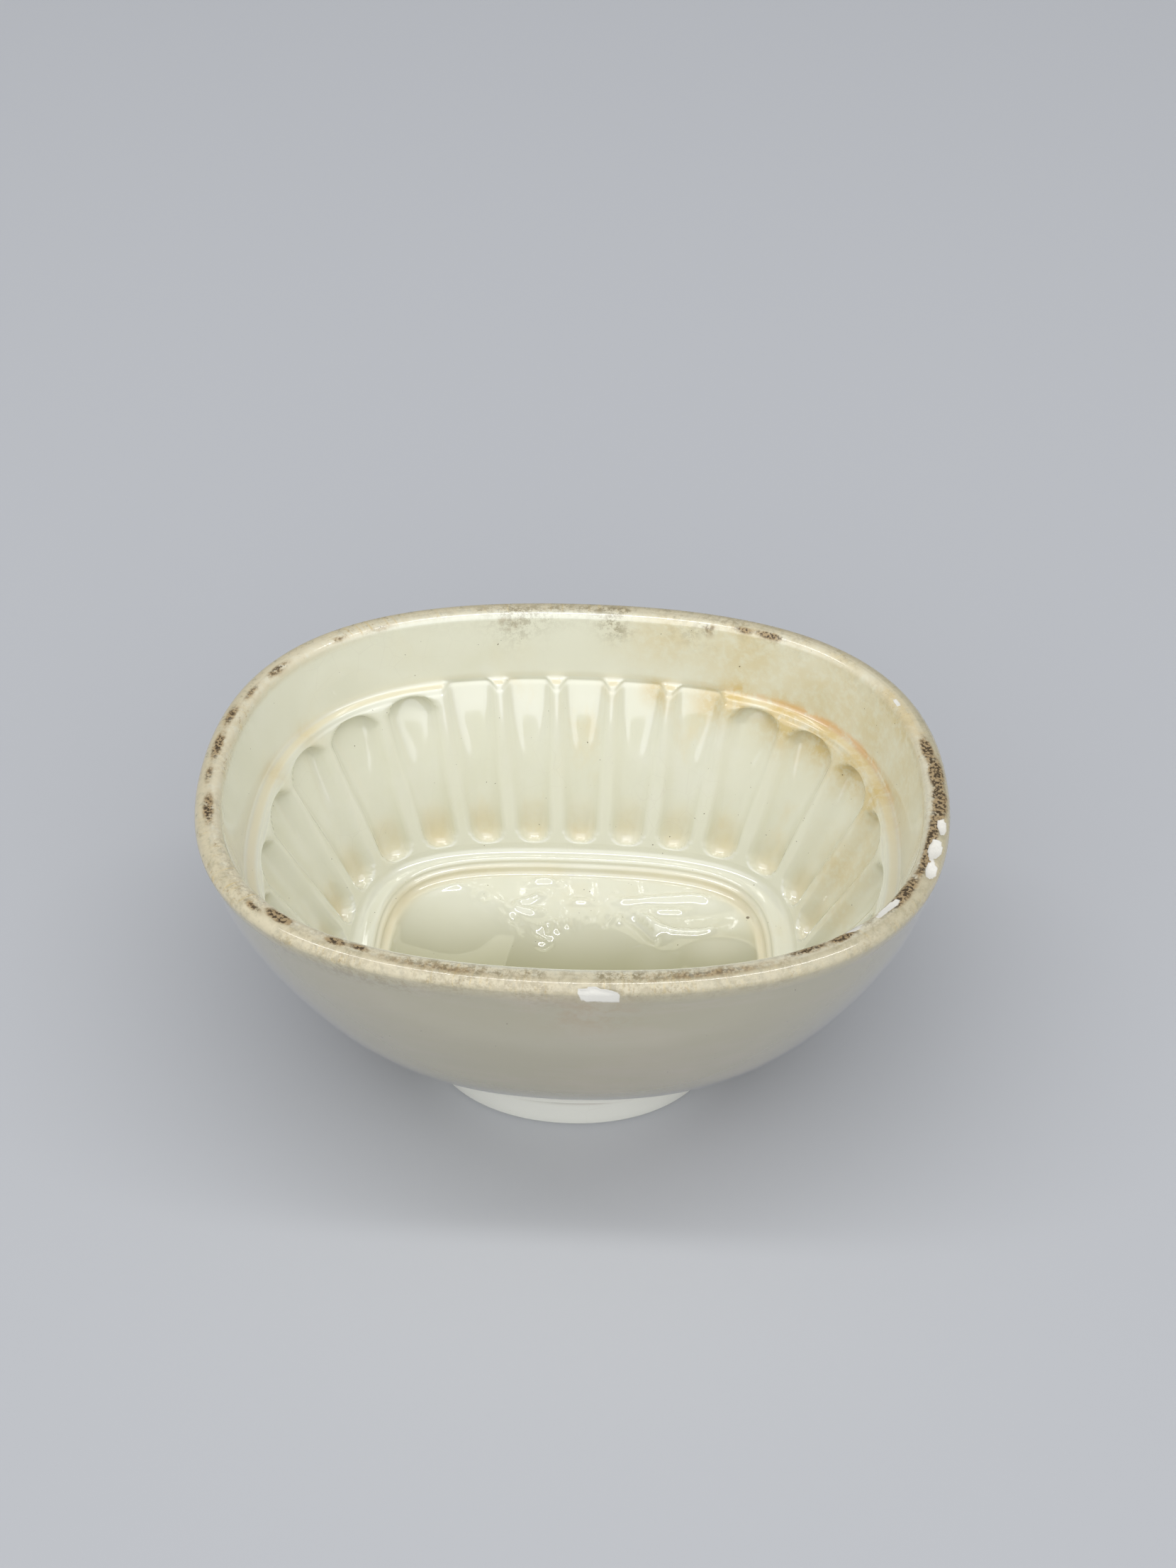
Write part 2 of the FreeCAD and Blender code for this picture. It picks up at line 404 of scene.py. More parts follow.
def fluteTree(material):
    # Presses the flutes into the fluted wall, rounds their ribs and shapes the ledge between them
    tree = bpy.data.node_groups.new("Flutes", "GeometryNodeTree")
    face = tree.interface
    face.new_socket("Geometry", in_out="INPUT", socket_type="NodeSocketGeometry")
    sockets = {}
    for name, value in fluteSizes.items():
        if name in ("Flute Count", "Fanning"):
            continue
        item = face.new_socket(name, in_out="INPUT", socket_type="NodeSocketFloat")
        item.default_value = value
        sockets[name] = item.identifier
    face.new_socket("Geometry", in_out="OUTPUT", socket_type="NodeSocketGeometry")
    entry = tree.nodes.new("NodeGroupInput")
    leave = tree.nodes.new("NodeGroupOutput")

    def size(name):
        scale = 1.0 if name.startswith(("Share", "Pocket Scoop")) else mm
        return Wire(tree, entry.outputs[name]) * scale

    def fact(name, kind="FLOAT"):
        node = tree.nodes.new("GeometryNodeInputNamedAttribute")
        node.data_type = kind
        node.inputs["Name"].default_value = name
        return Wire(tree, node.outputs["Attribute"])

    def keep(geometry, name, value):
        node = tree.nodes.new("GeometryNodeStoreNamedAttribute")
        node.data_type = "FLOAT"
        node.domain = "POINT"
        node.inputs["Name"].default_value = name
        tree.links.new(geometry, node.inputs["Geometry"])
        tree.links.new(value.socket, node.inputs["Value"])
        return node.outputs[0]

    across, pitch, reach = fact("across"), fact("pitch"), fact("reach")
    share, ledge, closing = fact("share"), fact("ledgeWidth"), fact("closing")
    topReach = (mouldSizes["ledgeHeight"] - mouldSizes["fluteEndHeight"]) * mouldSizes["wallSlant"] * mm
    up = reach.ramp(0.0, topReach)
    below, above = fluteBlends["deepening"]
    nearLedge = reach.ramp(topReach - below, topReach + above)
    depth = size("Depth At Bottom") + (size("Depth At Top") - size("Depth At Bottom")) * nearLedge
    filled = size("Share At Bottom") + (size("Share At Top") - size("Share At Bottom")) * up
    half = pitch * 0.5 * filled
    # The lower end is a half round pocket, and at the mould's ends the top is closed too
    low = (half - reach).above(0.0)
    closed = (reach - topReach + size("Closed Top") + size("Closed Gap")).above(0.0)
    closed = closed * closing * half / size("Closed Top")
    off = (across * across + low * low + closed * closed) / (half * half)
    # The pocket is round right up to its edge, the channel above it opens more softly
    bend = reach.ramp(*fluteBlends["pocketEnd"], 0.5, 0.68)
    channel = depth * off.flipped().above(0.0).step("POWER", bend)
    hollow = channel - (off.root() - 1.0).above(0.0) * half * 0.8
    softer = size("Rib Rounding") - size("Pocket Rounding")
    rounding = size("Pocket Rounding") + softer * reach.ramp(*fluteBlends["ribSoftening"])
    inWall = share.step("GREATER_THAN", -0.5) * reach.step("GREATER_THAN", -0.01)
    cut = hollow.step("SMOOTH_MIN", size("Flat Bottom"), fluteBlends["flatCorner"])
    cut = cut.step("SMOOTH_MAX", 0.0, rounding) * inWall
    onLedge = share.above(0.0)
    # The ledge: a cove against the band, a rounded edge over the flutes
    width = (ledge - cut).above(fluteBlends["leastLedge"])
    cove, edge = size("Ledge Cove"), size("Ledge Rounding")
    coveLeft = (cove - onLedge * width).above(0.0)
    edgeLeft = (edge - onLedge.flipped() * width).above(0.0)
    lift = cove - (cove * cove - coveLeft * coveLeft).root()
    drop = edge - (edge * edge - edgeLeft * edgeLeft).root()
    rise = (lift - drop) * inWall * reach.ramp(topReach - fluteBlends["ledgeRise"], topReach)
    push = tree.nodes.new("ShaderNodeVectorMath")
    push.operation = "SCALE"
    tree.links.new(fact("outward", "FLOAT_VECTOR").socket, push.inputs[0])
    tree.links.new((cut * onLedge).socket, push.inputs["Scale"])
    upward = tree.nodes.new("ShaderNodeCombineXYZ")
    scoop = cut * size("Pocket Scoop") * reach.ramp(0.0, fluteBlends["scoopEnd"], 1.0, 0.0) * onLedge
    tree.links.new((rise - scoop).socket, upward.inputs["Z"])
    total = tree.nodes.new("ShaderNodeVectorMath")
    tree.links.new(push.outputs[0], total.inputs[0])
    tree.links.new(upward.outputs[0], total.inputs[1])
    move = tree.nodes.new("GeometryNodeSetPosition")
    tree.links.new(entry.outputs["Geometry"], move.inputs["Geometry"])
    tree.links.new(total.outputs[0], move.inputs["Offset"])
    # What the glaze reads: pools in the pockets and on the ledge's flats, and the channels themselves
    deep = cut / size("Flat Bottom")
    pocket = deep.ramp(0.3, 0.95) * reach.ramp(0.002, 0.013, 1.0, 0.0) * reach.ramp(-0.003, 0.001)
    flats = width.ramp(0.001, 0.0035) * onLedge.ramp(0.05, 0.35) * onLedge.ramp(0.6, 0.95, 1.0, 0.0)
    skin = keep(move.outputs[0], "pocket", pocket)
    skin = keep(skin, "channel", deep * onLedge)
    skin = keep(skin, "flats", flats)
    # A hand-pressed unevenness all over, which leaves the foot and the rim's height alone
    wave = tree.nodes.new("ShaderNodeTexNoise")
    wave.inputs["Scale"].default_value = fluteBlends["waveScale"]
    wave.inputs["Detail"].default_value = fluteBlends["waveDetail"]
    height = tree.nodes.new("ShaderNodeSeparateXYZ")
    tree.links.new(tree.nodes.new("GeometryNodeInputPosition").outputs[0], height.inputs[0])
    level = Wire(tree, height.outputs["Z"])
    shift = (Wire(tree, wave.outputs[0]) - 0.55) * 2.0 * size("Hand Wobble") * level.ramp(0.012, 0.03)
    along = tree.nodes.new("ShaderNodeVectorMath")
    along.operation = "SCALE"
    tree.links.new(tree.nodes.new("GeometryNodeInputNormal").outputs[0], along.inputs[0])
    tree.links.new((shift * level.ramp(0.0885, 0.0915, 1.0, 0.25)).socket, along.inputs["Scale"])
    sway = tree.nodes.new("GeometryNodeSetPosition")
    tree.links.new(skin, sway.inputs["Geometry"])
    tree.links.new(along.outputs[0], sway.inputs["Offset"])
    real = tree.nodes.new("GeometryNodeRealizeInstances")
    paint = tree.nodes.new("GeometryNodeSetMaterial")
    paint.inputs["Material"].default_value = material
    tree.links.new(sway.outputs[0], real.inputs[0])
    tree.links.new(real.outputs[0], paint.inputs["Geometry"])
    tree.links.new(paint.outputs[0], leave.inputs[0])
    return tree, sockets


# The figure sunk in the floor, read as a lying hare with its head to the right, in millimetres:
# centre along and across, half length, half width, turn in degrees, depth
figureHollows = {
    "haunch": (-31.5, 1.0, 20.5, 25.0, 14.0, 3.4),
    "flank": (-1.0, -9.0, 25.0, 23.0, 4.0, 3.4),
    "shoulder": (20.0, -8.0, 12.0, 14.5, 0.0, 2.4),
    "cheek": (36.5, -1.0, 13.0, 10.5, 24.0, 2.4),
    "ear": (31.5, 18.0, 14.5, 7.4, 3.0, 0.9),
    "earHollow": (33.5, 18.4, 8.4, 4.2, 3.0, 1.3),
    "foreleg": (38.0, -12.5, 9.5, 4.6, -12.0, 2.4),
    "hindFoot": (-16.0, -22.0, 17.0, 5.0, 2.0, 2.4),
}
# Folds and edges: points along each, half width, depth (a negative depth stands up)
figureFolds = {
    "haunchRim": ([(-47.0, 18.5), (-44.5, 21.5), (-41.0, 23.6), (-35.5, 25.4), (-29.8, 26.1)], 1.4, -0.88),
    "haunchEdge": ([(-25.0, 22.0), (-20.0, 17.5), (-16.5, 13.6)], 2.3, -1.2),
    "haunchCrease": ([(-22.0, 20.0), (-17.5, 15.0), (-13.0, 9.5)], 1.2, 0.73),
    "neckFold": ([(13.5, 17.0), (17.0, 13.8), (20.5, 9.5), (23.0, 7.5)], 1.8, 1.2),
    "neckRidge": ([(17.5, 17.6), (20.5, 13.6), (23.0, 10.8)], 1.8, -1.3),
    "earTop": ([(10.0, 22.0), (15.5, 22.3), (19.0, 23.0), (25.0, 23.8), (31.0, 24.6), (36.0, 24.0)],
               1.1, -1.1),
    "earLine": ([(19.5, 18.9), (23.5, 19.4), (29.8, 20.0)], 1.1, -0.95),
    "earRoot": ([(15.6, 18.2), (17.0, 16.4), (19.5, 14.2), (20.8, 13.4)], 1.1, -1.1),
    "chin": ([(21.5, 13.2), (25.5, 11.8), (30.0, 11.6), (33.5, 12.0), (38.0, 14.0)], 1.1, -1.1),
    "backLine": ([(-2.5, 21.0), (-0.5, 21.3), (2.0, 21.4), (4.5, 21.2)], 1.1, -0.84),
    "tailTip": ([(-13.0, 27.4), (-11.0, 28.4), (-8.0, 28.8), (-5.6, 28.0)], 1.1, -1.3),
    "tailCurl": ([(-8.8, 24.2), (-10.4, 22.8), (-12.6, 21.0), (-15.6, 19.6), (-16.0, 18.0),
                  (-13.5, 16.9), (-9.8, 17.0)], 1.1, -1.4),
    "fleck": ([(-10.6, 7.4), (-8.6, 8.8), (-6.4, 7.4), (-8.4, 5.6), (-10.6, 7.4)], 1.1, 0.63),
}
# Short tufts along the back's edge, as where each one starts and how far apart they are
tufts = {"count": 15, "from": (-12.5, 11.5), "to": (13.0, 16.6), "length": 2.6, "depth": 0.8}
# How the hollows' sides curve, how softly two hollows join, and how a fold dies out at its ends
carving = {"sideCurve": 1.35, "softJoin": 0.7, "foldFade": 2.5, "leastFold": 0.25}


def smoothLine(points, steps=8):
    # A curve through the points
    line = []
    padded = [points[0]] + list(points) + [points[-1]]
    runs = [np.array(padded[i:len(padded) - 3 + i], dtype=float) for i in range(4)]
    for p0, p1, p2, p3 in zip(*runs):
        for t in np.arange(steps) / steps:
            line.append(0.5 * (2 * p1 + (p2 - p0) * t + (2 * p0 - 5 * p1 + 4 * p2 - p3) * t ** 2
                               + (3 * p1 - p0 - 3 * p2 + p3) * t ** 3))
    return line + [np.array(points[-1], dtype=float)]


def distanceTo(x, y, line):
    nearest = np.full_like(x, 1e9)
    for (x0, y0), (x1, y1) in zip(line, line[1:]):
        dx, dy = x1 - x0, y1 - y0
        part = np.clip(((x - x0) * dx + (y - y0) * dy) / (dx * dx + dy * dy + 1e-9), 0, 1)
        nearest = np.minimum(nearest, np.hypot(x - x0 - dx * part, y - y0 - dy * part))
    return nearest


def figureDepth(x, y):
    depth = np.zeros_like(x)
    soft = carving["softJoin"]
    for cx, cy, halfLength, halfWidth, turn, deep in figureHollows.values():
        angle = math.radians(turn)
        along = (x - cx) * math.cos(angle) + (y - cy) * math.sin(angle)
        side = (y - cy) * math.cos(angle) - (x - cx) * math.sin(angle)
        bowl = np.clip(1 - (along / halfLength) ** 2 - (side / halfWidth) ** 2, 0, 1)
        hollow = deep * bowl ** carving["sideCurve"]
        gap = np.clip(soft - np.abs(depth - hollow), 0, soft)
        joined = np.where(np.minimum(depth, hollow) > 0, gap * gap / (4 * soft), 0)
        depth = np.maximum(depth, hollow) + joined
    for points, halfWidth, deep in figureFolds.values():
        line = smoothLine(points)
        fade = 1.0
        for tip in (line[0], line[-1]):
            near = distanceTo(x, y, [tip, tip + 0.01]) / carving["foldFade"]
            fade = fade * np.clip(near, carving["leastFold"], 1)
        depth += deep * fade * np.exp(-(distanceTo(x, y, line) / halfWidth) ** 2)
    chance = np.random.RandomState(4)
    start, end = np.array(tufts["from"]), np.array(tufts["to"])
    for k in range(tufts["count"]):
        root = start + (end - start) * (k / tufts["count"]) + chance.uniform(-0.7, 0.7, 2)
        turn = chance.uniform(-2.3, -0.9)
        length = tufts["length"] * chance.uniform(0.6, 1.3)
        tip = root + length * np.array([math.cos(turn), math.sin(turn)])
        strength = tufts["depth"] * chance.uniform(-1, 1)
        depth += strength * np.exp(-(distanceTo(x, y, [root, tip]) / 0.8) ** 2)
    return depth


def sinkFigure(mesh, s):
    place = places(mesh)
    x, y, z = place.T
    out = outFrom(inset(s["lip"], s["wellDraft"] + s["wellCove"]), x, y)
    onFloor = np.abs(z - s["floorHeight"]) < 0.02
    depth = figureDepth(x, y) * np.clip((1.0 - out) / 0.04, 0, 1) * onFloor
    place[:, 2] -= depth
    mesh.vertices.foreach_set("co", (place * mm).ravel())
    keepFact(mesh, "sunk", depth)


# Chips in the rim: angle round it in degrees, half angle,
# place across (1 is the outer edge), half spread, depth
rimChips = [
    (-9.0, 1.9, 0.983, 0.014, 0.8),
    (-13.8, 2.3, 0.972, 0.018, 0.9),
    (-18.6, 2.0, 0.980, 0.016, 0.8),
    (-29.0, 2.4, 0.948, 0.012, 0.5),
    (-36.0, 1.8, 0.938, 0.010, 0.4),
    (-82.5, 4.2, 1.000, 0.012, 0.6),
    (22.0, 1.4, 0.950, 0.010, 0.4),
]
# Char burnt into the rim: angle, half angle, place across, half spread, strength
rimChar = [
    (155.0, 3.0, 0.950, 0.014, 0.75),
    (162.0, 3.0, 0.957, 0.012, 0.6),
    (168.5, 3.0, 0.968, 0.014, 0.8),
    (176.0, 3.6, 0.966, 0.014, 1.0),
    (-177.0, 2.4, 0.969, 0.012, 0.7),
    (-169.0, 3.6, 0.962, 0.014, 1.0),
    (-141.0, 2.2, 0.953, 0.014, 1.7),
    (-145.5, 2.2, 0.972, 0.010, 0.8),
    (-130.5, 1.7, 0.948, 0.013, 1.3),
    (-126.5, 1.7, 0.944, 0.012, 0.9),
    (-112.0, 16.0, 0.957, 0.020, 0.48),
    (-62.0, 14.0, 0.954, 0.022, 0.52),
    (-45.0, 4.0, 0.940, 0.016, 0.85),
    (-39.0, 2.6, 0.945, 0.014, 1.0),
    (-25.5, 5.0, 0.952, 0.017, 1.2),
    (-13.0, 9.0, 0.957, 0.014, 1.2),
    (-3.0, 4.2, 0.970, 0.018, 1.5),
    (3.5, 3.6, 0.968, 0.018, 1.6),
    (9.0, 3.2, 0.960, 0.014, 1.3),
    (50.0, 3.2, 0.930, 0.012, 0.9),
    (55.0, 2.2, 0.926, 0.010, 0.8),
    (62.0, 2.0, 0.915, 0.010, 0.55),
    (108.0, 4.0, 0.905, 0.010, 0.35),
    (134.0, 2.5, 0.930, 0.010, 0.5),
    (142.0, 2.0, 0.938, 0.010, 0.55),
]
# Soft stains on the glaze: place in millimetres, reach, strength
tanStains = [
    (60.0, 44.0, 85.0, 19.0, 0.48),
    (42.0, 56.0, 88.0, 15.0, 0.48),
    (22.0, 61.0, 90.0, 12.0, 0.38),
    (72.0, 32.0, 84.0, 14.0, 0.45),
    (79.0, 14.0, 82.0, 13.0, 0.42),
    (82.0, 34.0, 93.0, 9.0, 0.8),
    (68.0, 50.0, 93.0, 8.0, 0.6),
    (40.0, 54.0, 74.0, 6.0, 0.9),
    (33.0, 54.5, 70.0, 5.0, 0.8),
    (52.0, 48.0, 72.0, 8.0, 0.9),
    (61.0, 40.0, 71.0, 8.0, 0.9),
    (66.0, 12.0, 52.0, 11.0, 0.42),
    (69.0, 30.0, 71.0, 8.0, 0.85),
    (74.0, 19.0, 71.0, 7.0, 0.8),
    (19.0, 57.0, 71.0, 4.0, 0.8),
    (6.0, 57.5, 71.0, 2.5, 0.35),
    (71.0, 6.0, 62.0, 9.0, 0.55),
    (66.0, 0.0, 52.0, 7.0, 0.4),
    (-70.0, 33.0, 73.0, 4.0, 0.3),
    (-77.0, 18.0, 73.0, 4.0, 0.3),
    (84.0, 26.0, 92.0, 9.0, 0.8),
]
# Grey specks under the far rim, in the same order
greySpecks = [
    (8.0, 64.0, 90.0, 4.0, 0.9),
    (-17.0, 64.5, 91.0, 7.0, 0.5),
    (30.0, 63.0, 91.0, 6.0, 0.4),
]
# Orange line where the band meets the ledge: angles it runs between
orangeLine = (13.0, 47.0)


def bump(value, centre, half):
    return np.exp(-((value - centre) / half) ** 2)


def turnFrom(angle, centre):
    return (angle - centre + 180.0) % 360.0 - 180.0


def ragged(x, y, z, size):
    # An uneven field from -1 to 1, a few millimetres across
    chance = np.random.RandomState(11)
    total = np.zeros_like(x)
    for step in range(7):
        way = chance.normal(size=3)
        way *= 2 * math.pi / (size * chance.uniform(0.6, 1.6) * np.linalg.norm(way))
        total += np.sin(x * way[0] + y * way[1] + z * way[2] + chance.uniform(0, 6.3))
    return total / 3.5


def softSpots(spots, x, y, z):
    total = np.zeros_like(x)
    for cx, cy, cz, reach, strength in spots:
        far = (x - cx) ** 2 + (y - cy) ** 2 + (z - cz) ** 2
        total = np.maximum(total, strength * np.exp(-far / reach ** 2))
    return total


def wearMould(mesh, s):
    # Chips are cut into the skin here; the rest is written as masks that the glaze reads
    place = places(mesh)
    x, y, z = place.T
    angle = np.degrees(np.arctan2(y, x))
    out = outFrom(s["rim"], x, y)
    inside = readFact(mesh, "inside")
    rough = ragged(x, y, z, 7.0)
    nearRim = np.clip((z - 86.0) / 3.0, 0, 1)
    depth = np.zeros_like(x)
    for centre, half, across, spread, deep in rimChips:
        shape = bump(turnFrom(angle, centre), 0, half) * bump(out, across, spread) * nearRim
        depth = np.maximum(depth, deep * np.clip((shape + 0.22 * rough - 0.42) / 0.14, 0, 1))
    inward = np.c_[-x / s["rim"][0], -y / s["rim"][1], np.zeros_like(x)]
    inward /= np.maximum(np.linalg.norm(inward, axis=1), 1e-6)[:, None]
    inward[:, 2] = -0.8
    mesh.vertices.foreach_set("co", ((place + inward * depth[:, None]) * mm).ravel())
    char = np.zeros_like(x)
    for centre, half, across, spread, strength in rimChar:
        spot = strength * bump(turnFrom(angle, centre), 0, half) * bump(out, across, spread)
        char = np.maximum(char, spot)
    crest = np.clip((z - 89.6) / 1.6, 0, 1) * np.clip((out - 0.918) / 0.015, 0, 1)
    worn = crest * (0.8 + 0.2 * np.cos(np.radians(angle + 170)))
    ledgeCrease = bump(outFrom(s["bandFoot"], x, y), 1.0, 0.009) * bump(z, 74.2, 1.0) * inside
    orangeHalf = (orangeLine[1] - orangeLine[0]) * 0.55
    line = ledgeCrease * bump(turnFrom(angle, sum(orangeLine) / 2), 0, orangeHalf) ** 0.8
    stain = softSpots(tanStains, x, y, z) * inside
    lipOut = outFrom(s["lip"], x, y)
    lipBand = bump(lipOut, 0.960, 0.040) * (z < s["shelfHeight"] - 0.2) * inside
    lipBand *= z > s["floorHeight"] - 2.1
    lipBand *= 0.45 + 0.55 * np.abs(np.cos(np.radians(angle)))
    pool = np.maximum(lipBand, 0.45 * ledgeCrease)
    front = bump(turnFrom(angle, -90), 0, 52) ** 0.5
    grime = front * (bump(out, 0.948, 0.022) + 0.5 * bump(out, 0.99, 0.02)) * nearRim
    grime += 0.8 * bump(turnFrom(angle, 80), 0, 40) * bump(out, 0.95, 0.03) * nearRim
    grime += 0.5 * bump(turnFrom(angle, -128), 0, 26) * bump(z, 87, 4) * (out > 0.985)
    grime = np.clip(grime + softSpots(greySpecks, x, y, z) * inside, 0, 1.2)
    outer = (1 - inside) * (z > s["footHeight"] - 1)
    soil = outer * (np.clip(1 - z / 55, 0, 1) * 0.8 + 0.5 * bump(z, 86, 3) + 0.35)
    drip = outer * bump(turnFrom(angle, -84), 0, 9) * bump(z, 83, 7)
    masks = {
        "chip": depth / 0.5,
        "char": char * nearRim,
        "worn": worn,
        "stain": stain,
        "orange": line,
        "pool": pool,
        "soil": soil,
        "drip": drip,
        "grime": grime,
        "floor": (lipOut < 0.93) * (z < s["floorHeight"] + 0.5) * inside,
    }
    for name, values in masks.items():
        keepFact(mesh, name, values)


glazeLook = {
    "insideColor": (0.82, 0.81, 0.66),
    # the outside's glaze, darker partly for its dirt and partly as painted shade on the wall turned away
    # from the light
    "outsideDirtAndShadeColor": (0.41, 0.375, 0.25),
    "footColor": (0.80, 0.79, 0.70),
    "hollowColor": (0.76, 0.75, 0.57),
    "poolColor": (0.78, 0.62, 0.31),
    "nearFloorShadeColor": (0.32, 0.295, 0.13),   # painted shade: the floor's near half, darkened where the near wall shadows it
    "tanColor": (0.68, 0.51, 0.20),
    "orangeColor": (0.78, 0.34, 0.07),
    "wornColor": (0.70, 0.62, 0.43),
    "bodyColor": (0.78, 0.755, 0.68),
    "scorchColor": (0.37, 0.26, 0.13),
    "charColor": (0.065, 0.045, 0.025),
    "soilColor": (0.50, 0.42, 0.35),
    "grimeColor": (0.27, 0.22, 0.12),
    "cloudColor": (0.86, 0.85, 0.76),
    "rubbedColor": (0.72, 0.56, 0.50),
    "pepperColor": (0.38, 0.27, 0.14),
    "pinholeColor": (0.12, 0.08, 0.04),
    "roughness": 0.07,
    "coatIor": 1.75,
    "coatRoughness": 0.04,
    "bodyGloss": 0.3,
    "crazing": 170.0,
}
# Small pits and iron specks seen in the glaze: place in millimetres and radius
glazePits = [
    (45.4, 17.6, 28.6, 0.45),
    (34.9, 35.7, 33.6, 0.35),
    (61.0, 38.0, 66.0, 0.25),
    (-11.0, -5.0, 23.5, 0.55),
    (-27.0, -60.5, 60.0, 0.45),
    (-25.2, -60.8, 60.0, 0.35),
    (-24.6, -59.4, 57.0, 0.40),
    (-26.4, -58.6, 55.5, 0.35),
    (-25.0, -57.8, 53.5, 0.45),
    (-23.4, -58.4, 54.5, 0.3),
]


def glazeMaterial(look):
    material = bpy.data.materials.new("creamGlaze")
    material.use_nodes = True
    tree = material.node_tree
    shader = tree.nodes["Principled BSDF"]
    coords = tree.nodes.new("ShaderNodeTexCoord")

    def fact(name):
        node = tree.nodes.new("ShaderNodeAttribute")
        node.attribute_name = name
        return Wire(tree, node.outputs["Fac"])

    def grain(scale, detail=3.0, rough=0.55, stretch=(1, 1, 1), along=None):
        spot = tree.nodes.new("ShaderNodeMapping")
        spot.inputs["Scale"].default_value = stretch
        tree.links.new(along or coords.outputs["Object"], spot.inputs["Vector"])
        node = tree.nodes.new("ShaderNodeTexNoise")
        node.inputs["Scale"].default_value = scale
        node.inputs["Detail"].default_value = detail
        node.inputs["Roughness"].default_value = rough
        tree.links.new(spot.outputs[0], node.inputs["Vector"])
        return Wire(tree, node.outputs[0])

    def colour(below, above, amount):
        node = tree.nodes.new("ShaderNodeMix")
        node.data_type = "RGBA"
        node.clamp_factor = True
        for socket, value in ((node.inputs[6], below), (node.inputs[7], above)):
            if isinstance(value, Wire):
                tree.links.new(value.socket, socket)
            else:
                socket.default_value = (*value, 1.0)
        plug(tree, amount, node.inputs[0])
        return Wire(tree, node.outputs[2])

    # Across the rim the streaks run inwards, so their noise follows the way round
    roundRim = tree.nodes.new("ShaderNodeCombineXYZ")
    tree.links.new(fact("around").socket, roundRim.inputs["X"])
    level = tree.nodes.new("ShaderNodeSeparateXYZ")
    tree.links.new(coords.outputs["Object"], level.inputs[0])
    tree.links.new((Wire(tree, level.outputs["Z"]) * 0.3).socket, roundRim.inputs["Y"])
    height = Wire(tree, level.outputs["Z"])

    cloud, mottle, fine = grain(26, 4), grain(85, 5, 0.6), grain(420, 4, 0.65)
    # Above the foot the outside is darker, partly for dirt and partly as painted shade
    outside = colour(look["footColor"], look["outsideDirtAndShadeColor"], height.ramp(0.007, 0.012))
    base = colour(outside, look["insideColor"], fact("inside"))
    thicker = fact("channel") * 0.30 + fact("floor") * fact("sunk") * 0.09
    base = colour(base, look["hollowColor"], thicker * mottle.ramp(0.2, 0.6))
    base = colour(base, look["cloudColor"], cloud.ramp(0.48, 0.72) * fact("inside") * 0.35)
    base = colour(base, look["hollowColor"], grain(48, 5).ramp(0.5, 0.78) * 0.4 * fact("inside"))
    pool = (fact("pool") * mottle.ramp(0.25, 0.7, 0.5, 1.0)).limited()
    base = colour(base, look["poolColor"], pool * 0.5)
    pocket = fact("pocket") * mottle.ramp(0.25, 0.65, 0.35, 1.0)
    base = colour(base, look["poolColor"], pocket * 0.55)
    base = colour(base, look["poolColor"], fact("flats") * 0.35)
    runs = grain(60, 5, 0.6, (1, 1, 0.45)).ramp(0.54, 0.72)
    runs = runs * (fact("channel") * 0.7 + fact("inside") * 0.25)
    base = colour(base, look["poolColor"], runs.limited() * 0.32)
    # Painted shade: the floor grows darker towards its near side, where the near wall shades it
    nearFloorShade = Wire(tree, level.outputs["Y"]).ramp(-0.006, 0.024, 1.0, 0.0) * fact("floor")
    base = colour(base, look["nearFloorShadeColor"], nearFloorShade * 0.75)
    stain = fact("stain") * 1.5 * mottle.ramp(0.25, 0.6, 0.62, 1.0) * cloud.ramp(0.25, 0.6, 0.7, 1.0)
    stain = (stain * fine.ramp(0.3, 0.6, 0.55, 1.1)).limited()
    base = colour(base, look["tanColor"], stain * 0.86)
    orange = fact("orange") * grain(210, 4, 0.6).ramp(0.34, 0.6)
    base = colour(base, look["orangeColor"], orange.limited() * 0.85)
    # Outside: faint dirt in level streaks, rubbed pinkish low down, and a run under the rim's flake
    streaks = grain(30, 6, 0.65, (1, 1, 4.5)).ramp(0.46, 0.7)
    base = colour(base, look["soilColor"], (fact("soil") * streaks).limited() * 0.45)
    base = colour(base, look["rubbedColor"], fact("soil") * grain(19, 3).ramp(0.52, 0.7) * 0.3)
    base = colour(base, look["scorchColor"], fact("drip") * grain(150, 5, 0.7).ramp(0.42, 0.62) * 0.5)
    # The rim: glaze worn dull and cream, streaked and peppered, then scorched and charred
    streak = grain(900, 4, 0.7, (1, 1, 1), roundRim.outputs[0])
    worn = (fact("worn") * fine.ramp(0.28, 0.55, 0.45, 1.0)).limited()
    base = colour(base, look["wornColor"], worn * 0.85)
    rubbed = fact("worn") * streak.ramp(0.5, 0.68) * mottle.ramp(0.4, 0.65)
    base = colour(base, look["tanColor"], rubbed * 0.75)
    pepper = grain(1100, 2, 0.6).ramp(0.60, 0.66) * mottle.ramp(0.44, 0.6)
    base = colour(base, look["pepperColor"], (fact("worn") * pepper).limited() * 0.6)
    grime = fact("grime") * grain(640, 4, 0.75).ramp(0.42, 0.60) * mottle.ramp(0.32, 0.58)
    base = colour(base, look["grimeColor"], grime.limited() * 0.95)
    scorch = (fact("char") * fine.ramp(0.25, 0.65, 0.4, 1.5)).ramp(0.12, 0.85)
    base = colour(base, look["scorchColor"], scorch * 0.9)
    dots = grain(1250, 3, 0.6).ramp(0.46, 0.55) * fact("char").ramp(0.18, 0.8)
    base = colour(base, look["charColor"], dots.limited() * 0.95)
    pinholes = grain(1100, 1, 0.5).ramp(0.80, 0.815) * fact("worn").flipped()
    for *place, radius in glazePits:
        away = tree.nodes.new("ShaderNodeVectorMath")
        away.operation = "DISTANCE"
